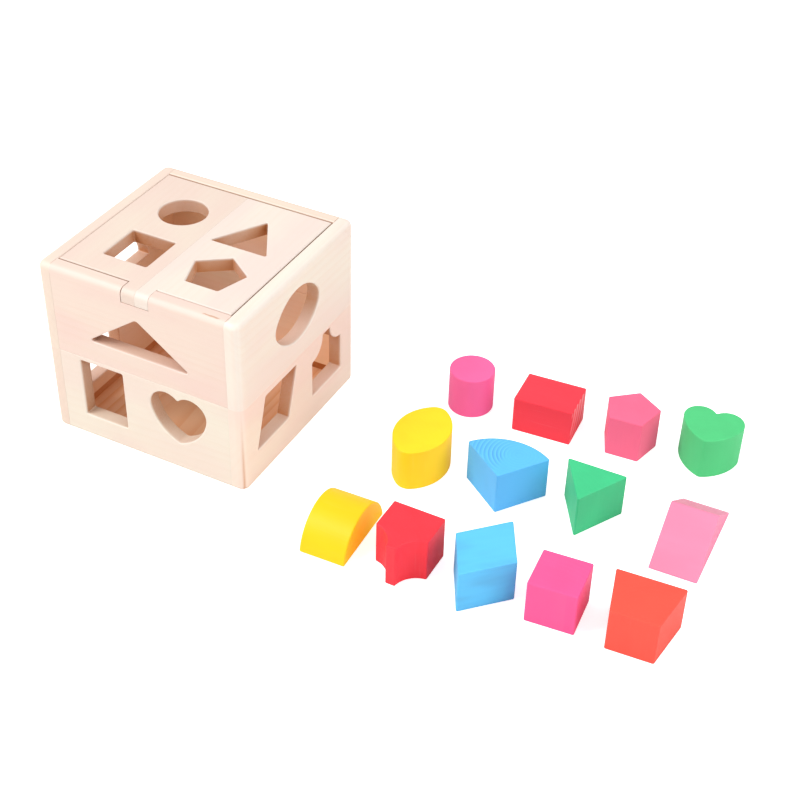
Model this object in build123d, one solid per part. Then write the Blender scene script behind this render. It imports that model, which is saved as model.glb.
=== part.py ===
"""Wooden shape sorter: a box with a hinged lid, thirteen cut-outs and the thirteen blocks that fit them.

Millimetres, +Z up, +X along the front of the box, +Y towards its hinged back.
The origin is the centre of the box's underside. The blocks stand on the same level, right of the box.
"""
import os
from math import cos, hypot, radians, sin, sqrt, tan

from build123d import *

# ---- Box ----
box_width = 135.0
box_depth = 130.0
box_height = 117.0
board = 9.0                 # thickness of the walls and of the lid
corner_round = 5.0          # the box's upright corners
top_round = 4.0             # outer top edges
bottom_round = 2.0          # outer bottom edges
seam_ease = 0.35            # chamfer along the joint halfway up the front and back
joint_ease = 0.15           # chamfer along the other glued joints, which are tight
edge_ease = 0.6             # chamfer on the other board edges
seam_height = box_height / 2

# ---- Bottom panel, glued into a rebate from below ----
panel_thickness = 4.0
rebate_depth = board / 2
panel_gap = 0.2             # all round the panel

# ---- Lid; the two numbers of a pair are for its left and right side ----
left, right = -1, 1
lid_side_gap = {left: 0.3, right: 0.8}
lid_front_gap = {left: 1.0, right: 0.6}
lid_rear_gap = 1.0
lid_rear_round = 1.5        # lets the rear edge swing past the back wall
hinge_inset = 7.0           # from the rear edge to the hinge axis
tab_width = 18.0
tab_gap = {left: 0.6, right: 0.2}
tab_seat = 0.05             # under the tab

# ---- Hinge pins and corner dowels ----
pin_radius = 1.5
pin_clearance = 0.08        # round each pin in its side panel
pin_in_lid = 10.0
pin_in_side = 5.0
pin_end_play = 0.5
dowel_radius = 2.5
dowel_in_side = 5.0
dowel_in_end = 12.0
dowel_end_gap = 0.3
pin_ease = 0.4              # chamfer on the ends of pins and dowels
dowel_heights = (30.0, 88.0)

# ---- Cut-outs and blocks ----
block_length = 28.0         # the plank thickness that every block is sawn from
block_gap = 0.9             # between a block and its cut-out, all round
snug_gap = 0.5              # for the pointed blocks
loose_gap = 1.6             # for the bell-shaped block
block_corner = 0.9          # rounded edges along a block's length
sharp_corner = 0.5          # the same on the narrow-angled roof block
block_ease = 0.8            # rounded rims of a block
sharp_ease = 0.5
cuboid_size = (37.4, 24.5)  # the cuboid is thinner than its cut-out
hole_corner = 1.0
hole_ease = 0.5             # chamfer round each cut-out, inside and outside

round_diameter = 30.0
square_side = 30.0
triangle_side = 38.5
pentagon_radius = 18.4      # centre to corner
rectangle_size = (30.0, 40.0)
heart_lobe_radius = 11.0
heart_lobe_offset = 8.25    # from the middle to each lobe's centre
heart_side_radius = 30.0
heart_tip_radius = 4.0
heart_tip_drop = 19.4       # from the lobe centres down to the tip's centre
roof_size = (70.0, 25.5)
roof_blunt = 3.0            # radius at the ridge
oval_size = (49.5, 34.8)
oval_end_radius = 9.5
lean_size = (35.5, 33.0)    # parallelogram: base and height
lean_angle = 72.5
bell_size = (35.0, 38.0)    # block with two quarter-round bites
bell_bite = 13.0
half_radius = 26.0
half_cut = 2.4              # from the circle's centre up to the flat side
quarter_radius = 36.5
wedge_size = (41.5, 28.5, 34.0)   # trapezoid: base, top and height

smooth_angle = 170          # degrees; arcs that meet flatter than this are already smooth

inner_x = box_width / 2 - board
inner_y = box_depth / 2 - board
lid_bottom = box_height - board
lid_rear = inner_y - lid_rear_gap
hinge_y = lid_rear - hinge_inset
hinge_z = box_height - board / 2
wall_y = box_depth / 2 - board / 2        # middle of the front and back boards
lid_x = {side: inner_x - lid_side_gap[side] for side in (left, right)}

lid_plane = Plane(origin=(0, 0, box_height), x_dir=(1, 0, 0), z_dir=(0, 0, 1))
front_plane = Plane(origin=(0, -box_depth / 2, 0), x_dir=(1, 0, 0), z_dir=(0, -1, 0))
right_plane = Plane(origin=(box_width / 2, 0, 0), x_dir=(0, 1, 0), z_dir=(1, 0, 0))
left_plane = Plane(origin=(-box_width / 2, 0, 0), x_dir=(0, -1, 0), z_dir=(-1, 0, 0))


# ---- Small helpers ----
def span_box(low, high):
    """A box between two opposite corners."""
    size = [b - a for a, b in zip(low, high)]
    middle = [(a + b) / 2 for a, b in zip(low, high)]
    return Pos(*middle) * Box(*size)


def long_edges(solid, axis, **at):
    """Edges parallel to an axis whose middle has the given X, Y or Z."""
    found = solid.edges().filter_by(axis)
    return found.filter_by(
        lambda edge: all(abs(getattr(edge.center(), key) - value) < 1e-3 for key, value in at.items())
    )


def centred(face):
    """The same outline with the middle of its box at the origin."""
    middle = face.bounding_box().center()
    return Pos(-middle.X, -middle.Y) * face


def arc_between(centre, radius, start, end, bulge):
    """An arc round centre from start to end, passing the side that bulge points to."""
    length = hypot(bulge[0], bulge[1])
    top = (centre[0] + radius * bulge[0] / length, centre[1] + radius * bulge[1] / length)
    return ThreePointArc(start, top, end)


# ---- Outlines: each is a cut-out's own shape, base down ----
def regular(corners, radius):
    """Regular polygon with one corner at the top."""
    angles = [radians(90 + 360 * k / corners) for k in range(corners)]
    return Polygon(*[(radius * cos(a), radius * sin(a)) for a in angles], align=None)


def round_outline():
    return Circle(round_diameter / 2)


def square_outline():
    return Rectangle(square_side, square_side)


def triangle_outline():
    return regular(3, triangle_side / sqrt(3))


def pentagon_outline():
    return regular(5, pentagon_radius)


def rectangle_outline():
    return Rectangle(*rectangle_size)


def roof_outline():
    width, height = roof_size
    face = Polygon((-width / 2, 0), (width / 2, 0), (0, height), align=None)
    ridge = face.vertices().sort_by(Axis.Y)[-1]
    return centred(fillet(ridge, roof_blunt))


def heart_outline():
    """Two lobes, two long side arcs and a round tip, each arc tangent to the next."""
    lobe = (heart_lobe_offset, 0.0)
    tip = (0.0, -heart_tip_drop)
    to_lobe = heart_side_radius - heart_lobe_radius
    to_tip = heart_side_radius - heart_tip_radius
    gap = hypot(lobe[0] - tip[0], lobe[1] - tip[1])
    along = (to_tip ** 2 - to_lobe ** 2 + gap ** 2) / (2 * gap)
    across = sqrt(to_tip ** 2 - along ** 2)
    ux, uy = (lobe[0] - tip[0]) / gap, (lobe[1] - tip[1]) / gap
    side = (tip[0] + along * ux - across * uy, tip[1] + along * uy + across * ux)

    def on_side(towards):
        length = hypot(towards[0] - side[0], towards[1] - side[1])
        k = heart_side_radius / length
        return (side[0] + k * (towards[0] - side[0]), side[1] + k * (towards[1] - side[1]))

    notch = (0.0, sqrt(heart_lobe_radius ** 2 - heart_lobe_offset ** 2))
    high, low = on_side(lobe), on_side(tip)
    bulge = ((high[0] + low[0]) / 2 - side[0], (high[1] + low[1]) / 2 - side[1])
    halves = []
    for s in (1, -1):
        halves += [
            arc_between((s * lobe[0], 0), heart_lobe_radius, notch, (s * high[0], high[1]), (s, 1)),
            arc_between((s * side[0], side[1]), heart_side_radius, (s * high[0], high[1]),
                        (s * low[0], low[1]), (s * bulge[0], bulge[1])),
        ]
    point = arc_between(tip, heart_tip_radius, (low[0], low[1]), (-low[0], low[1]), (0, -1))
    return centred(make_face(halves + [point]))


def oval_outline():
    """Two side arcs and two end arcs, tangent where they meet."""
    a, b = oval_size[0] / 2, oval_size[1] / 2
    end_x = a - oval_end_radius
    side_radius = (end_x ** 2 + b ** 2 - oval_end_radius ** 2) / (2 * (b - oval_end_radius))
    drop = side_radius - b
    k = side_radius / hypot(end_x, drop)
    meet = (end_x * k, (drop * k) - drop)
    edges = []
    for s in (1, -1):
        edges.append(ThreePointArc((-s * meet[0], s * meet[1]), (0, s * b), (s * meet[0], s * meet[1])))
        edges.append(ThreePointArc((s * meet[0], meet[1]), (s * a, 0), (s * meet[0], -meet[1])))
    return make_face(edges)


def lean_outline():
    base, height = lean_size
    shift = height / tan(radians(lean_angle))
    return centred(Polygon((0, 0), (base, 0), (base + shift, height), (shift, height), align=None))


def bell_outline():
    """A rectangle with a quarter-round bite out of each upper corner."""
    width, height = bell_size
    bites = Pos(-width / 2, height / 2) * Circle(bell_bite) + Pos(width / 2, height / 2) * Circle(bell_bite)
    return Rectangle(width, height) - bites


def half_outline():
    keep = Pos(0, half_cut + half_radius / 2) * Rectangle(2 * half_radius, half_radius)
    return centred(Circle(half_radius) & keep)


def quarter_outline():
    """Square corner at the origin."""
    keep = Pos(quarter_radius / 2, quarter_radius / 2) * Rectangle(quarter_radius, quarter_radius)
    return Circle(quarter_radius) & keep


def wedge_outline():
    base, top, height = wedge_size
    points = ((-base / 2, 0), (base / 2, 0), (top / 2, height), (-top / 2, height))
    return centred(Polygon(*points, align=None))


def upturned_wedge_outline():
    return Rot(0, 0, 180) * wedge_outline()


def same_place(a, b):
    return abs(a - b) < 1e-4


def sharp_corners(face):
    """Corners of an outline that aren't already smooth."""
    found = ShapeList()
    for corner in face.vertices():
        spot = corner.center()
        leaving = []
        for edge in face.edges():
            if same_place(edge @ 0, spot):
                leaving.append(edge % 0)
            elif same_place(edge @ 1, spot):
                leaving.append((edge % 1) * -1)
        if len(leaving) == 2 and leaving[0].get_angle(leaving[1]) < smooth_angle:
            found.append(corner)
    return found


def rounded(face, radius):
    """The outline with its sharp corners rounded."""
    corners = sharp_corners(face)
    return fillet(corners, radius) if corners else face


# ---- Cut-outs: outline and middle, in each face's own plane (right and up, seen from outside) ----
lid_holes = {
    "left": [(round_outline, -25.0, 21.5), (square_outline, -24.4, -24.3)],
    "right": [(triangle_outline, 24.7, 14.5), (pentagon_outline, 28.0, -25.0)],
}
front_holes = {
    "upper": [(roof_outline, -0.8, 85.2)],
    "lower": [(rectangle_outline, -29.2, 35.7), (heart_outline, 23.5, 36.6)],
}
right_holes = {
    "upper": [(oval_outline, -1.5, 87.8)],
    "lower": [(lean_outline, -26.8, 37.0), (bell_outline, 31.0, 37.0)],
}
left_holes = {
    "upper": [(half_outline, -2.5, 85.0)],
    "lower": [(quarter_outline, 9.5, 17.0), (upturned_wedge_outline, -32.8, 37.0)],
}


def cut_hole(solid, plane, outline, x, y):
    """Cut one outline through a board and ease its rim on both faces."""
    face = Pos(x, y) * rounded(outline(), hole_corner)
    solid = solid - extrude(plane * face, amount=board * 1.5, both=True)
    rim = face.bounding_box()
    local = plane.location.inverse()
    edges = ShapeList()
    for edge in solid.edges():
        spot = (local * edge).bounding_box()
        level = abs(spot.max.Z) < 1e-3 or abs(spot.min.Z + board) < 1e-3
        flat = spot.max.Z - spot.min.Z < 1e-3
        inside = (spot.min.X > rim.min.X - 0.1 and spot.max.X < rim.max.X + 0.1
                  and spot.min.Y > rim.min.Y - 0.1 and spot.max.Y < rim.max.Y + 0.1)
        if level and flat and inside:
            edges.append(edge)
    return chamfer(edges, hole_ease)


# ---- Box ----
def envelope():
    """The closed box's outside, with every edge rounded."""
    block = Pos(0, 0, box_height / 2) * Box(box_width, box_depth, box_height)
    block = fillet(block.edges().filter_by(Axis.Z), corner_round)
    block = fillet(block.faces().sort_by(Axis.Z)[-1].edges(), top_round)
    return fillet(block.faces().sort_by(Axis.Z)[0].edges(), bottom_round)


def board_levels(half):
    return (0.0, seam_height) if half == "lower" else (seam_height, box_height)


def rebate():
    """The recess that takes the bottom panel."""
    x = inner_x + rebate_depth + panel_gap
    y = inner_y + rebate_depth + panel_gap
    return span_box((-x, -y, -1), (x, y, panel_thickness))


def dowel_bores(half):
    """Holes for the dowels that cross the four upright joints at one height."""
    z = dowel_heights[0] if half == "lower" else dowel_heights[1]
    reach_in = dowel_in_end + dowel_end_gap
    reach_out = dowel_in_side + dowel_end_gap
    bores = []
    for sx in (-1, 1):
        middle = inner_x + (reach_out - reach_in) / 2
        for sy in (-1, 1):
            bores.append(Pos(sx * middle, sy * wall_y, z) * Rot(0, 90, 0)
                         * Cylinder(dowel_radius, reach_in + reach_out))
    return bores


def end_board(side, half):
    """Front (-1) or back (+1) board, held between the two side panels."""
    low, high = board_levels(half)
    outer, inner = side * box_depth / 2, side * inner_y
    solid = span_box((-inner_x, min(outer, inner), low), (inner_x, max(outer, inner), high))
    solid = chamfer(long_edges(solid, Axis.X, Z=seam_height), seam_ease)
    for x in (-inner_x, inner_x):
        solid = chamfer(long_edges(solid, Axis.Z, X=x, Y=outer), joint_ease)
    if half == "upper":
        solid = chamfer(long_edges(solid, Axis.X, Z=box_height, Y=inner), edge_ease)
    solid = solid & envelope()
    for bore in dowel_bores(half):
        solid = solid - bore
    if half == "lower":
        solid = solid - rebate()
    if side < 0 and half == "upper":
        x_low, x_high = (side * (tab_width / 2 + tab_gap[side]) for side in (left, right))
        floor = lid_bottom - tab_seat
        solid = solid - span_box((x_low, outer - 1, floor), (x_high, inner + 1, box_height + 1))
    return solid


def side_panel(side, half):
    """Left or right board, which runs the full depth of the box."""
    low, high = board_levels(half)
    outer, inner = side * box_width / 2, side * inner_x
    y = box_depth / 2
    solid = span_box((min(outer, inner), -y, low), (max(outer, inner), y, high))
    solid = chamfer(long_edges(solid, Axis.Y, Z=seam_height), joint_ease)
    if half == "upper":
        solid = chamfer(long_edges(solid, Axis.Y, Z=box_height, X=inner), edge_ease)
    solid = solid & envelope()
    for bore in dowel_bores(half):
        solid = solid - bore
    if half == "lower":
        return solid - rebate()
    depth = pin_in_side + pin_end_play
    pin_bore = Cylinder(pin_radius + pin_clearance, depth)
    return solid - Pos(side * (inner_x + depth / 2), hinge_y, hinge_z) * Rot(0, 90, 0) * pin_bore


def with_holes(solid, plane, holes):
    for outline, x, y in holes:
        solid = cut_hole(solid, plane, outline, x, y)
    return solid


def bottom_panel():
    x, y = inner_x + rebate_depth, inner_y + rebate_depth
    return span_box((-x, -y, 0), (x, y, panel_thickness))


def rod(radius, length):
    """A pin or dowel along X with chamfered ends."""
    solid = Rot(0, 90, 0) * Cylinder(radius, length)
    return chamfer(solid.edges().filter_by(GeomType.CIRCLE), pin_ease)


def corner_dowels():
    dowels = []
    middle = inner_x + (dowel_in_side - dowel_in_end) / 2
    dowel = rod(dowel_radius, dowel_in_side + dowel_in_end)
    for z in dowel_heights:
        for sx in (-1, 1):
            for sy in (-1, 1):
                dowels.append(Pos(sx * middle, sy * wall_y, z) * dowel)
    return Compound(dowels)


# ---- Lid ----
def hinge_pin(side):
    near, far = lid_x[side] - pin_in_lid, inner_x + pin_in_side
    return Pos(side * (near + far) / 2, hinge_y, hinge_z) * rod(pin_radius, far - near)


def lid_board(side):
    """Left or right half of the lid, with its half of the front tab."""
    front = -(inner_y - lid_front_gap[side])
    edge = side * lid_x[side]
    x_low, x_high = sorted((0.0, edge))
    tab_low, tab_high = sorted((0.0, side * tab_width / 2))
    solid = span_box((x_low, front, lid_bottom), (x_high, lid_rear, box_height))
    rims = long_edges(solid, Axis.Y, X=edge) + long_edges(solid, Axis.X, Y=front, Z=box_height)
    solid = chamfer(rims, edge_ease)
    solid = fillet(long_edges(solid, Axis.X, Y=lid_rear), lid_rear_round)
    tab = span_box((tab_low, -box_depth / 2, lid_bottom), (tab_high, front + edge_ease, box_height))
    tab = chamfer(long_edges(tab, Axis.X, Y=-box_depth / 2, Z=lid_bottom), edge_ease)
    solid = (solid + tab) & envelope()
    seam = long_edges(solid, Axis.Y, X=0, Z=box_height) + long_edges(solid, Axis.Y, X=0, Z=lid_bottom)
    solid = chamfer(seam, joint_ease)
    bore = Rot(0, 90, 0) * Cylinder(pin_radius, pin_in_lid)
    return solid - Pos(edge - side * pin_in_lid / 2, hinge_y, hinge_z) * bore


# ---- Blocks ----
def block_outline(outline, gap=block_gap, corner=block_corner):
    """A cut-out's outline drawn in by the block's gap, with its corners rounded."""
    return rounded(offset(outline(), amount=-gap, kind=Kind.ARC), corner)


def eased_prism(face, ease=block_ease):
    """A block of the standard length from an outline, with both rims rounded."""
    solid = extrude(face, amount=block_length)
    rims = solid.faces().sort_by(Axis.Z)[0].edges() + solid.faces().sort_by(Axis.Z)[-1].edges()
    return fillet(rims, ease)


def standing(prism, x, y, turn):
    """A block on its end, turned about the upright axis."""
    return Pos(x, y) * Rot(0, 0, turn) * prism


def lying(prism, x, y, turn):
    """A block on its long flat side, its length along X before the turn."""
    on_edge = Plane(origin=(-block_length / 2, 0, 0), x_dir=(0, 1, 0), z_dir=(1, 0, 0)).location
    solid = on_edge * prism
    low = solid.bounding_box().min.Z
    return Pos(x, y, -low) * Rot(0, 0, turn) * solid


def block(outline, gap=block_gap):
    return eased_prism(block_outline(outline, gap))


def cuboid():
    return eased_prism(rounded(Rectangle(*cuboid_size), block_corner))


def roof():
    return eased_prism(block_outline(roof_outline, snug_gap, sharp_corner), sharp_ease)


blocks = {
    "block_cylinder": standing(block(round_outline), 146.0, 75.0, 0),
    "block_cuboid": lying(cuboid(), 196.6, 79.7, 94.3),
    "block_pentagon": standing(block(pentagon_outline), 247.2, 85.6, 4),
    "block_heart": standing(block(heart_outline), 294.3, 93.4, 4),
    "block_oval": standing(block(oval_outline), 146.1, 6.3, 89),
    "block_quarter_round": standing(block(quarter_outline), 202.4, -12.0, 54),
    "block_triangle": standing(block(triangle_outline, snug_gap), 249.4, 14.0, 181),
    "block_half_round": lying(block(half_outline), 133.2, -67.8, 2),
    "block_bell": standing(block(bell_outline, loose_gap), 176.6, -74.4, 180),
    "block_parallelogram": standing(block(lean_outline), 221.4, -66.7, 45.5),
    "block_cube": standing(block(square_outline), 264.2, -65.8, 5),
    "block_trapezoid": standing(block(wedge_outline), 309.2, -62.4, 184),
    "block_roof": lying(roof(), 309.0, 22.0, 2),
}

# ---- Sub-parts ----
parts = {
    "bottom_panel": bottom_panel(),
    "corner_dowels": corner_dowels(),
    "hinge_pins": Compound([hinge_pin(side) for side in (left, right)]),
    "lid_left_board": with_holes(lid_board(left), lid_plane, lid_holes["left"]),
    "lid_right_board": with_holes(lid_board(right), lid_plane, lid_holes["right"]),
}
for half in ("lower", "upper"):
    parts[f"front_{half}_board"] = with_holes(end_board(-1, half), front_plane, front_holes[half])
    parts[f"back_{half}_board"] = end_board(1, half)
    parts[f"right_{half}_board"] = with_holes(side_panel(right, half), right_plane, right_holes[half])
    parts[f"left_{half}_board"] = with_holes(side_panel(left, half), left_plane, left_holes[half])
parts.update(blocks)

os.makedirs("parts", exist_ok=True)
for node, solid in parts.items():
    export_step(solid, f"parts/{node}.step")
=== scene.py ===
import math

import bpy
from mathutils import Matrix, Vector


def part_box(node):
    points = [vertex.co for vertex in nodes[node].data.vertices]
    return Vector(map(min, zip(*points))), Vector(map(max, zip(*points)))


# A wooden shape sorter and its thirteen painted blocks in a white studio. Every piece is a CAD node, and
# gets a procedural material of its own.

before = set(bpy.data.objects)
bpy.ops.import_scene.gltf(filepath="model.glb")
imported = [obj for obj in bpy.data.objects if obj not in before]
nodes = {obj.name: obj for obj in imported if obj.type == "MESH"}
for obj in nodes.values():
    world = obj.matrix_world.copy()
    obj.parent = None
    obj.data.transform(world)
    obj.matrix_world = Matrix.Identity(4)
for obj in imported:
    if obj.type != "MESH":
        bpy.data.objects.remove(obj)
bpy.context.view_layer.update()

MM = 0.001
BLACK, WHITE = (0.0, 0.0, 0.0), (1.0, 1.0, 1.0)

# ---- Bare wood, linear RGB ----
# Each board: its own pale tint and how strongly its growth rings show.
WOOD = {
    "front_lower": ((0.800, 0.700, 0.610), 0.8),
    "front_upper": ((0.800, 0.630, 0.560), 1.0),
    "back_lower": ((0.800, 0.660, 0.570), 1.1),
    "back_upper": ((0.800, 0.650, 0.560), 0.9),
    "left_lower": ((0.795, 0.650, 0.560), 1.0),
    "left_upper": ((0.800, 0.660, 0.570), 0.9),
    # The right wall's tints are lighter than the other boards': partly their own tone, partly painted light
    # making up for the weaker lamp on that side.
    "right_lower": ((0.870, 0.715, 0.630), 1.0),
    "right_upper": ((0.850, 0.755, 0.680), 0.9),
    "lid_left": ((0.755, 0.628, 0.552), 0.8),
    "lid_right": ((0.790, 0.690, 0.630), 0.7),
    "bottom_panel": ((0.78, 0.56, 0.40), 6.5),
    "corner_dowels": ((0.76, 0.58, 0.42), 1.0),
}
# Each feature of the wood: its colour, as a share of the board's tint, and how strongly it shows.
FEATURES = {
    "fibre": ((0.98, 0.96, 0.93), 0.30),
    "late_wood": ((0.90, 0.74, 0.57), 0.13),
    "pore": ((0.80, 0.66, 0.52), 0.12),
    "end_grain": ((0.97, 0.93, 0.88), 0.35),
    "pitch": ((0.62, 0.42, 0.28), 0.75),
}
PINKISH, CREAM = (1.00, 0.94, 0.93), (1.00, 1.03, 0.98)     # the clouds, as shares of the tint
SANDED_PALE_AND_HIGHLIGHT = (1.05, 1.12, 1.15)          # the rounded edges, the same way: paler sanded wood, and a painted highlight
HOLE_SHADE = (0.65, 0.31, 0.12)         # what the shade does to the wood's colour on the walls of a cut-out
FRONT_SHADE = (0.57, 0.30, 0.16)        # the same in the front, where they face away from the light
INNER_SHADE = (0.87, 0.68, 0.50)        # the same on the inner faces of the closed box
FLOOR_SHADE = (1.00, 0.62, 0.38)        # the same on its bottom panel
GAP_PAINTED_SHADE = (0.10, 0.055, 0.03)          # painted shade in the gaps round the lid
BOUNCED_LIGHT = 0.45                    # painted glow added inside the closed box, for light bounced between the boards
WALL_YEAR, LID_YEAR, PANEL_YEAR, DOWEL_YEAR = 4.2 * MM, 4.6 * MM, 5.5 * MM, 2.0 * MM   # ring spacing
GRAIN_LEAN = 0.03                       # how far the grain leans, per metre along it

# ---- Paint, linear RGB ----
PAINT = {
    "cylinder": (0.960, 0.138, 0.350),
    "cuboid": (0.950, 0.042, 0.068),
    "pentagon": (0.960, 0.148, 0.275),
    "heart": (0.082, 0.600, 0.212),
    "oval": (0.970, 0.675, 0.010),
    "quarter_round": (0.096, 0.505, 0.930),
    "triangle": (0.050, 0.590, 0.245),
    "half_round": (0.970, 0.505, 0.003),
    "bell": (0.950, 0.036, 0.056),
    "parallelogram": (0.115, 0.560, 0.930),
    "cube": (0.950, 0.100, 0.310),
    "trapezoid": (0.900, 0.092, 0.058),
    "roof": (0.920, 0.260, 0.420),
}
# Light that the paint gives back in its own shade, for the brightest paints.
# Painted glow for the brightest paints, which lifts their shaded sides.
PAINT_GLOW = {
    "oval": (0.16, 0.04, 0.0),
    "half_round": (0.13, 0.14, 0.0),
    "bell": (0.06, 0.0, 0.0),
    "quarter_round": (0.02, 0.02, 0.05),
    "cylinder": (0.0, 0.0, 0.02),
}
DEEP, DARK = (0.86, 0.72, 0.76), (0.60, 0.60, 0.74)         # shares of the paint's colour
LIGHT, BARE = 0.16, 0.34                # how far towards white the paint goes where it is thin, or worn off
# Each block's grain: its direction, and its turn about Z in degrees. Others run up and down.
GRAIN = {
    "cuboid": ("X", 4.3),
    "half_round": ("X", 2.0),
    "roof": ("X", 2.0),
    "parallelogram": ("X", 45.5),
}
# How the rings show through: how much on end grain and along it, if they are pale, and if they stop on
# one side of the pith.
RINGS_SHOW = {
    "cuboid": (0.9, 0.0, True, False),
    "quarter_round": (1.0, 0.02, False, True),
    "parallelogram": (0.05, 0.06, False, False),
    "cube": (0.02, 0.09, True, False),
}
PITHS = {"quarter_round": (-7.5, -5.5), "cuboid": (40, -14), "cube": (2, 60)}   # pith to middle, mm
YEARS = {"cuboid": 5.5, "quarter_round": 2.2}                                   # ring spacing, mm
BLOTCHES = {"parallelogram": 0.8, "bell": 0.4}                                  # how uneven the paint is

# ---- Studio ----
DOME_LIGHT, BACKDROP = 0.72, 1.0        # the dome as the object sees it, and as the camera does
KEY_PLACE, KEY_SIZE, KEY_POWER = (-1.2, -1.1, 1.9), 1.3, 38.0
FILL_PLACE, FILL_SIZE, FILL_POWER = (1.9, -0.25, 1.1), 1.8, 17.0
LIT_SPOT = (0.08, 0.0, 0.03)
FLOOR_HALF = 6.0
FLOOR_GREY, PAPER_LOW, PAPER_HIGH = 0.85, 0.90, 0.92        # as the object sees it, and as the camera does
PAPER_GLOW = 0.70
CAMERA_PLACE = (0.44683, -0.62579, 0.59189)
CAMERA_AZIMUTH, CAMERA_ELEVATION, CAMERA_ROLL = 26.57, 37.79, 1.61
CAMERA_LENS, SENSOR_WIDTH = 68.92, 36.0


def vec(*values):
    return Vector(values)


def colour(rgb):
    return (*rgb, 1.0)


def times(rgb, shares):
    return colour([c * k for c, k in zip(rgb, shares)])


def paler(rgb, share):
    return colour([c + share * (1.0 - c) for c in rgb])


# ---- Node-tree helpers ----
class Tree:
    """Short calls for building a shader node tree."""

    def __init__(self, name):
        self.material = bpy.data.materials.new(name)
        self.material.use_nodes = True
        self.nodes = self.material.node_tree.nodes
        self.links = self.material.node_tree.links
        self.nodes.clear()

    def put(self, kind, **settings):
        node = self.nodes.new("ShaderNode" + kind)
        for key, value in settings.items():
            setattr(node, key, value)
        return node

    def feed(self, node, **inputs):
        """Links or sets inputs, by name or, as i0, i1 and so on, by place."""
        for key, value in inputs.items():
            socket = node.inputs[int(key[1:])] if key[0] == "i" and key[1:].isdigit() else node.inputs[key]
            if isinstance(value, bpy.types.NodeSocket):
                self.links.new(value, socket)
            else:
                socket.default_value = value
        return node

    def math(self, operation, a, b=0.0, c=0.0):
        return self.feed(self.put("Math", operation=operation), i0=a, i1=b, i2=c).outputs[0]

    def product(self, first, *others):
        for other in others:
            first = self.math("MULTIPLY", first, other)
        return first

    def vector(self, operation, a, b=BLACK):
        node = self.feed(self.put("VectorMath", operation=operation), i0=a, i1=b)
        return node.outputs["Value" if operation in ("LENGTH", "DOT_PRODUCT") else "Vector"]

    def split(self, value):
        return list(self.feed(self.put("SeparateXYZ"), i0=value).outputs)

    def place(self):
        """Object coordinates, which stay with the piece when it moves."""
        return self.put("TexCoord").outputs["Object"]

    def normal(self):
        """The surface's normal in object coordinates."""
        return self.put("TexCoord").outputs["Normal"]

    def mix(self, factor, a, b, blend="MIX"):
        node = self.put("Mix", data_type="RGBA", blend_type=blend)
        return self.feed(node, i0=factor, i6=a, i7=b).outputs[2]

    def noise(self, where, scale, detail=2.0, roughness=0.5):
        node = self.put("TexNoise")
        self.feed(node, Vector=where, Scale=scale, Detail=detail, Roughness=roughness)
        return node.outputs["Fac"]

    def ramp(self, value, low, high, out_low=0.0, out_high=1.0, smooth=True):
        node = self.put("MapRange", interpolation_type="SMOOTHSTEP" if smooth else "LINEAR")
        return self.feed(node, i0=value, i1=low, i2=high, i3=out_low, i4=out_high).outputs[0]

    def openness(self, reach):
        """1 where nothing is within reach, 0 in a closed corner."""
        return self.feed(self.put("AmbientOcclusion", samples=6), Distance=reach).outputs["AO"]

    def bump(self, height, strength, distance):
        return self.feed(self.put("Bump"), Strength=strength, Distance=distance, Height=height).outputs[0]

    def finish(self, **inputs):
        names = {"Base": "Base Color", "Coat": "Coat Weight", "CoatRough": "Coat Roughness",
                 "Specular": "Specular IOR Level", "Glow": "Emission Color", "Glowing": "Emission Strength"}
        shader = self.feed(self.put("BsdfPrincipled"),
                           **{names.get(key, key): value for key, value in inputs.items()})
        self.links.new(shader.outputs[0], self.put("OutputMaterial").inputs["Surface"])
        return self.material


# ---- Grain ----
def axes(along, turn=0.0):
    """Rows that turn object coordinates into grain coordinates: two across the grain, then one along it."""
    c, k = math.cos(math.radians(turn)), math.sin(math.radians(turn))
    x_row, y_row, z_row = (c, k, 0), (-k, c, 0), (0, 0, 1)
    return {"X": (y_row, z_row, x_row), "Y": (z_row, x_row, y_row), "Z": (x_row, y_row, z_row)}[along]


def grain_space(tree, rows, centre, pith, seed):
    """Coordinates in metres with the grain along Z and the tree's pith near the Z axis."""
    spot = tree.vector("SUBTRACT", tree.place(), tuple(centre))
    across, up, along = [tree.vector("DOT_PRODUCT", spot, row) for row in rows]
    leaning = tree.math("MULTIPLY_ADD", along, GRAIN_LEAN, across)
    join = tree.feed(tree.put("CombineXYZ"), X=leaning, Y=up, Z=along)
    return tree.vector("ADD", join.outputs[0], (pith[0], pith[1], seed * 0.37))


def squeezed(tree, where, across, along):
    return tree.vector("MULTIPLY", where, (across, across, along))


def end_grain(tree, rows):
    """1 on faces sawn across the grain, 0 on faces along it."""
    facing = tree.vector("DOT_PRODUCT", tree.normal(), rows[2])
    return tree.ramp(tree.math("ABSOLUTE", facing), 0.6, 0.9)


def rings(tree, where, spacing, waviness=1.0):
    """Growth rings, as the position within each year: 0 where a year starts, 1 where it ends."""
    stretched = squeezed(tree, where, 1.0, 0.10)
    drift = tree.math("SUBTRACT", tree.noise(stretched, 16.0, 1.0), 0.5)
    wobble = tree.math("SUBTRACT", tree.noise(stretched, 70.0), 0.5)
    shift = tree.math("MULTIPLY_ADD", wobble, 2.5 * MM * waviness, tree.product(drift, 14 * MM * waviness))
    radius = tree.math("ADD", tree.vector("LENGTH", squeezed(tree, where, 1.0, 0.0)), shift)
    return tree.math("FRACT", tree.math("DIVIDE", radius, spacing))


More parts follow.
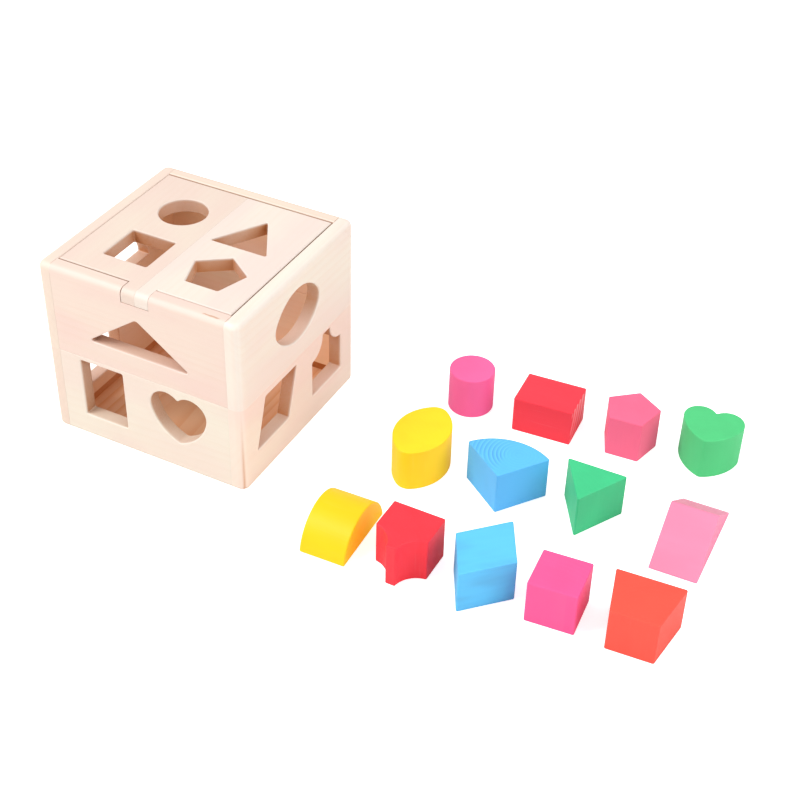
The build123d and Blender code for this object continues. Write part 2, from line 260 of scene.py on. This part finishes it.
def late_wood(tree, year, where):
    """The darker line that ends each year, clear in some places and faint in others."""
    rise = tree.ramp(year, 0.30, 0.92)
    drop = tree.ramp(year, 0.92, 1.0, 1.0, 0.0)
    patchy = tree.noise(squeezed(tree, where, 1.0, 0.08), 28.0)
    return tree.product(rise, drop, tree.ramp(patchy, 0.35, 0.68, 0.2, 1.0))


def fibres(tree, where, scale=1.0):
    """Fine streaks along the grain."""
    return tree.noise(squeezed(tree, where, 900.0 * scale, 28.0 * scale), 1.0, 3.0, 0.6)


def clouds(tree, where, scale):
    return tree.noise(squeezed(tree, where, 1.0, 0.4), scale)


def rounded_edges(tree, radius):
    """1 along outside edges, 0 on flats."""
    soft = tree.feed(tree.put("Bevel", samples=4), Radius=radius).outputs[0]
    same = tree.vector("DOT_PRODUCT", soft, tree.put("NewGeometry").outputs["Normal"])
    return tree.ramp(tree.math("SUBTRACT", 1.0, same), 0.01, 0.14)


# ---- Places on the box ----
def below_surface(tree):
    """How deep a point lies inside the closed box."""
    low, high = box_hull
    place = tree.place()
    inward = tree.vector("MINIMUM", tree.vector("SUBTRACT", place, tuple(low)),
                         tree.vector("SUBTRACT", tuple(high), place))
    x, y, z = tree.split(inward)
    return tree.math("MINIMUM", tree.math("MINIMUM", x, y), z)


def in_the_shade(tree, depth):
    """1 on the walls' inner faces while the box is closed, less on the walls of the cut-outs, 0 outside."""
    closed_in = tree.ramp(tree.openness(60 * MM), 0.52, 1.0, 1.0, 0.0, smooth=False)
    facing_up = tree.vector("DOT_PRODUCT", tree.normal(), (0.0, 0.0, 1.0))
    closed_in = tree.product(closed_in, tree.ramp(facing_up, 0.45, 1.0, 1.0, 0.44))
    return tree.product(closed_in, tree.ramp(depth, 0.4 * MM, 2.0 * MM))


def in_a_gap(tree, depth):
    """1 in the open gaps round the lid, less in the tight ones at its left and back."""
    close = tree.ramp(tree.openness(6 * MM), 0.12, 0.35, 1.0, 0.0)
    x, y, _ = tree.split(tree.place())
    left, back = box_hull[0].x, box_hull[1].y
    at_left = tree.ramp(x, left + 10 * MM, left + 12 * MM, 0.0, 1.0)
    at_back = tree.ramp(y, back - 14 * MM, back - 12 * MM, 1.0, 0.15)
    close = tree.product(close, tree.product(at_left, at_back))
    return tree.product(close, tree.ramp(depth, 0.7 * MM, 2.0 * MM))


def bounced(tree, within, shaded):
    """Light that has bounced many times between the boards, less of it at the left of the box."""
    # A painted glow on the boards, not a lamp.
    x = tree.split(tree.place())[0]
    rightness = tree.ramp(x, 0.8 * box_hull[0].x, 0.1 * box_hull[1].x, 0.16, 0.9)
    return tree.product(shaded, within, rightness, BOUNCED_LIGHT)


def rounded_over(tree):
    """1 on rounded edges, 0 on faces square to the box."""
    x, y, z = tree.split(tree.vector("ABSOLUTE", tree.normal()))
    largest = tree.math("MAXIMUM", tree.math("MAXIMUM", x, y), z)
    return tree.ramp(largest, 0.80, 0.99, 1.0, 0.0)


def pitch_streak(tree, middle_at, length, width):
    """A short dark line of pitch along X."""
    place = tree.vector("SUBTRACT", tree.place(), middle_at)
    wobble = tree.product(tree.math("SUBTRACT", tree.noise(place, 400.0), 0.5), width)
    x, y, _ = tree.split(place)
    near = tree.ramp(tree.math("ABSOLUTE", x), length * 0.3, length * 0.5, 1.0, 0.0)
    off = tree.math("ABSOLUTE", tree.math("ADD", y, wobble))
    return tree.product(near, tree.ramp(off, width * 0.2, width * 0.6, 1.0, 0.0))


# ---- Materials ----
def bare_wood(name, rows, pith, spacing, seed, pitch=None, hole=HOLE_SHADE, inner=INNER_SHADE,
              inner_depth=9 * MM):
    """Pale sanded softwood with faint growth rings, fine fibres, and cream and pinkish clouds.

    pitch is a streak's middle, length and width. hole and inner are the colours of painted shade on the
    cut-outs' walls and of the faces that lie inner_depth or more inside the box. The wood also gets painted
    shade in the gaps round the lid, a painted highlight along its rounded edges and a painted glow inside
    the closed box.
    """
    tint, contrast = WOOD[name.removesuffix("_board")]
    tree = Tree(name)
    where = grain_space(tree, rows, middle(name), pith, seed)
    late = late_wood(tree, rings(tree, where, spacing), where)
    fibre = fibres(tree, where)
    pores = tree.ramp(tree.noise(squeezed(tree, where, 2600.0, 90.0), 1.0, 1.0), 0.62, 0.8)

    def add(feature, mask, strength=1.0):
        shares, show = FEATURES[feature]
        return tree.mix(tree.product(mask, show * strength), base, times(tint, shares))

    creamy = tree.ramp(clouds(tree, where, 26.0), 0.35, 0.65)
    base = tree.mix(creamy, times(tint, PINKISH), times(tint, CREAM))
    base = add("fibre", tree.ramp(fibre, 0.3, 0.7))
    base = add("late_wood", late, contrast)
    base = add("pore", pores)
    base = add("end_grain", end_grain(tree, rows))
    if pitch:
        base = add("pitch", pitch_streak(tree, *pitch))
    depth = below_surface(tree)
    # Painted highlight along the rounded edges, together with the paler colour of sanded wood there.
    sanded_edge_and_highlight = tree.product(rounded_over(tree), tree.ramp(depth, 0.0, 3 * MM, 0.4, 0.0))
    sanded_edge_and_highlight = tree.math("MAXIMUM", sanded_edge_and_highlight, tree.product(rounded_edges(tree, 0.8 * MM), 0.22))
    base = tree.mix(sanded_edge_and_highlight, base, times(tint, SANDED_PALE_AND_HIGHLIGHT))

    shaded = in_the_shade(tree, depth)
    within = tree.ramp(depth, inner_depth - 0.5 * MM, inner_depth)
    shade = tree.mix(within, colour(hole), colour(inner))
    base = tree.mix(shaded, base, tree.mix(1.0, base, shade, "MULTIPLY"))
    # Painted shade in the gaps round the lid.
    base = tree.mix(in_a_gap(tree, depth), base, colour(GAP_PAINTED_SHADE))

    rough = tree.math("MULTIPLY_ADD", late, -0.08, tree.math("MULTIPLY_ADD", fibre, 0.12, 0.50))
    height = tree.math("MULTIPLY_ADD", late, 0.5, tree.product(fibre, 0.5))
    height = tree.math("SUBTRACT", height, tree.product(pores, 0.5))
    # The glow is painted light inside the closed box.
    return tree.finish(Base=base, Roughness=rough, Normal=tree.bump(height, 0.25, 0.12 * MM), Specular=0.30,
                       Glow=base, Glowing=bounced(tree, within, shaded))


def painted_wood(name, tint, rows, centre, pith, spacing, seed, rings_show, blotches, glow):
    """Satin paint over a sanded block, with the grain showing through."""
    ends_show, sides_show, pale, one_sided = rings_show
    tree = Tree(name)
    where = grain_space(tree, rows, centre, pith, seed)
    year = rings(tree, where, spacing, 0.45)
    late = late_wood(tree, year, where)
    after = tree.product(tree.ramp(year, 0.0, 0.12), tree.ramp(year, 0.12, 0.35, 1.0, 0.0))
    fibre = fibres(tree, where, 0.8)
    show = tree.math("MULTIPLY_ADD", end_grain(tree, rows), ends_show - sides_show, sides_show)
    if one_sided:
        across = tree.split(where)[0]
        show = tree.product(show, tree.ramp(across, -10 * MM, -5 * MM, 1.0, 0.10))
    ridges = tree.product(late, show)
    cloud = clouds(tree, where, 60.0)

    deep, light = times(tint, DEEP), paler(tint, LIGHT)
    base = tree.mix(tree.ramp(cloud, 0.35, 0.7, 0.0, blotches), colour(tint), deep)
    if pale:
        base = tree.mix(show, base, deep)
        line, beside, beside_show, ridge_height = paler(tint, BARE), deep, 0.6, 1.2
    else:
        line, beside, beside_show, ridge_height = times(tint, DARK), light, 0.25, -0.6
    base = tree.mix(ridges, base, line)
    base = tree.mix(tree.product(after, show, beside_show), base, beside)
    base = tree.mix(tree.ramp(fibre, 0.58, 0.8, 0.0, 0.12), base, light)
    rubbed = tree.ramp(tree.noise(where, 160.0, 3.0), 0.42, 0.68)
    worn = tree.product(rounded_edges(tree, 0.9 * MM), tree.math("MULTIPLY_ADD", rubbed, 0.30, 0.10))
    base = tree.mix(worn, base, light)

    rough = tree.math("MULTIPLY_ADD", cloud, 0.08, tree.math("MULTIPLY_ADD", fibre, 0.16, 0.36))
    height = tree.math("MULTIPLY_ADD", ridges, ridge_height, tree.product(fibre, 0.25))
    height = tree.math("MULTIPLY_ADD", tree.noise(where, 900.0, 1.0), 0.2, height)
    # The glow is painted light on the paint's shaded sides.
    return tree.finish(Base=base, Roughness=rough, Normal=tree.bump(height, 0.35, 0.2 * MM),
                       Specular=0.28, Coat=0.05, CoatRough=0.3, Glow=colour(glow), Glowing=1.0)


def steel(name):
    """Drawn steel, with fine scratches along it."""
    tree = Tree(name)
    scratch = tree.noise(tree.vector("MULTIPLY", tree.place(), (60.0, 3000.0, 3000.0)), 1.0, 3.0)
    base = tree.mix(scratch, colour((0.52, 0.52, 0.54)), colour((0.68, 0.68, 0.69)))
    return tree.finish(Base=base, Roughness=tree.math("MULTIPLY_ADD", scratch, 0.25, 0.25), Metallic=1.0,
                       Normal=tree.bump(scratch, 0.2, 0.02 * MM))


def dress(node, material):
    """Gives a CAD node its material."""
    mesh = nodes[node].data
    mesh.materials.clear()
    mesh.materials.append(material)


def middle(node):
    low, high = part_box(node)
    return (low + high) / 2


# ---- The box ----
def hull():
    """Lowest and highest corner of the closed box alone."""
    low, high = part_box("bottom_panel")
    for node in nodes:
        if node.endswith("_board"):
            a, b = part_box(node)
            low = Vector(map(min, low, a))
            high = Vector(map(max, high, b))
    return low, high


def dress_box():
    seed = 0
    for wall, along in {"front": "X", "back": "X", "left": "Y", "right": "Y"}.items():
        for row in ("lower", "upper"):
            seed += 1
            pith = ((-1) ** seed * (30 + 7 * seed % 23) * MM, (44 + 11 * seed % 17) * MM)
            node = f"{wall}_{row}_board"
            pitch = None
            if node == "front_upper_board":
                pitch = (vec(49 * MM, box_hull[0].y + 3 * MM, box_hull[1].z), 13 * MM, 1.1 * MM)
            hole = FRONT_SHADE if wall == "front" else HOLE_SHADE
            dress(node, bare_wood(node, axes(along), pith, WALL_YEAR, seed, pitch, hole))
    for side, up in (("left", 62), ("right", -58)):
        seed += 1
        node = f"lid_{side}_board"
        dress(node, bare_wood(node, axes("Y"), (16 * MM, up * MM), LID_YEAR, seed))
    node = "bottom_panel"
    dress(node, bare_wood(node, axes("Y"), (18 * MM, 8 * MM), PANEL_YEAR, 31, inner=FLOOR_SHADE,
                          inner_depth=4 * MM))
    node = "corner_dowels"
    dress(node, bare_wood(node, axes("X"), (5 * MM, 30 * MM), DOWEL_YEAR, 37))
    dress("hinge_pins", steel("hinge_steel"))


# ---- The blocks ----
def dress_blocks():
    for seed, (name, tint) in enumerate(PAINT.items()):
        node = f"block_{name}"
        along, turn = GRAIN.get(name, ("Z", 0.0))
        across, up = PITHS.get(name, ((-1) ** seed * (12 + 5 * seed % 13), 20 + 7 * seed % 11))
        dress(node, painted_wood(f"paint_{name}", tint, axes(along, turn), middle(node),
                                 (across * MM, up * MM), YEARS.get(name, 3.0) * MM, seed + 50,
                                 RINGS_SHOW.get(name, (0.03, 0.02, False, False)), BLOTCHES.get(name, 0.2),
                                 PAINT_GLOW.get(name, BLACK)))


# ---- Studio ----
def floor():
    """A sheet of pale paper, far wider than the view, brighter to the camera than to the object."""
    far = FLOOR_HALF
    mesh = bpy.data.meshes.new("floor")
    mesh.from_pydata([(-far, -far, 0), (far, -far, 0), (far, far, 0), (-far, far, 0)], [], [(0, 1, 2, 3)])
    sheet = bpy.data.objects.new("floor", mesh)
    bpy.context.scene.collection.objects.link(sheet)
    tree = Tree("floor_paper")
    paper = tree.mix(tree.noise(tree.place(), 40.0, 3.0), colour([PAPER_LOW] * 3), colour([PAPER_HIGH] * 3))
    seen = tree.put("LightPath").outputs["Is Camera Ray"]
    base = tree.mix(seen, colour([FLOOR_GREY] * 3), paper)
    mesh.materials.append(tree.finish(Base=base, Roughness=0.9, Specular=0.1, Glow=paper,
                                      Glowing=tree.product(seen, PAPER_GLOW)))


def area_light(name, place, size, power):
    data = bpy.data.lights.new(name, "AREA")
    data.shape = "DISK"
    data.size = size
    data.energy = power
    lamp = bpy.data.objects.new(name, data)
    lamp.location = place
    lamp.rotation_mode = "QUATERNION"
    lamp.rotation_quaternion = (vec(*LIT_SPOT) - vec(*place)).to_track_quat("-Z", "Y")
    bpy.context.scene.collection.objects.link(lamp)


def lights():
    """An even white dome, a large soft key light from the front left and a weaker one from the right."""
    world = bpy.data.worlds.new("studio")
    bpy.context.scene.world = world
    world.use_nodes = True
    put, link = world.node_tree.nodes.new, world.node_tree.links.new
    background = world.node_tree.nodes["Background"]
    background.inputs["Color"].default_value = colour(WHITE)
    strength = put("ShaderNodeMapRange")
    strength.inputs["To Min"].default_value = DOME_LIGHT
    strength.inputs["To Max"].default_value = BACKDROP
    link(put("ShaderNodeLightPath").outputs["Is Camera Ray"], strength.inputs["Value"])
    link(strength.outputs[0], background.inputs["Strength"])
    area_light("key", KEY_PLACE, KEY_SIZE, KEY_POWER)
    area_light("fill", FILL_PLACE, FILL_SIZE, FILL_POWER)


def camera():
    azimuth, elevation, roll = map(math.radians, (CAMERA_AZIMUTH, CAMERA_ELEVATION, CAMERA_ROLL))
    back = vec(math.sin(azimuth) * math.cos(elevation), -math.cos(azimuth) * math.cos(elevation),
               math.sin(elevation))
    right = (-back).cross(vec(0, 0, 1)).normalized()
    up = right.cross(-back)
    tilted_right = math.cos(roll) * right + math.sin(roll) * up
    tilted_up = math.cos(roll) * up - math.sin(roll) * right
    turn = Matrix((tilted_right, tilted_up, back)).transposed()
    data = bpy.data.cameras.new("camera")
    data.sensor_width = SENSOR_WIDTH
    data.lens = CAMERA_LENS
    data.clip_start, data.clip_end = 0.05, 20.0
    eye = bpy.data.objects.new("camera", data)
    eye.matrix_world = Matrix.Translation(CAMERA_PLACE) @ turn.to_4x4()
    bpy.context.scene.collection.objects.link(eye)
    bpy.context.scene.camera = eye


box_hull = hull()
dress_box()
dress_blocks()
floor()
lights()
camera()
bpy.context.scene.view_settings.view_transform = "Standard"
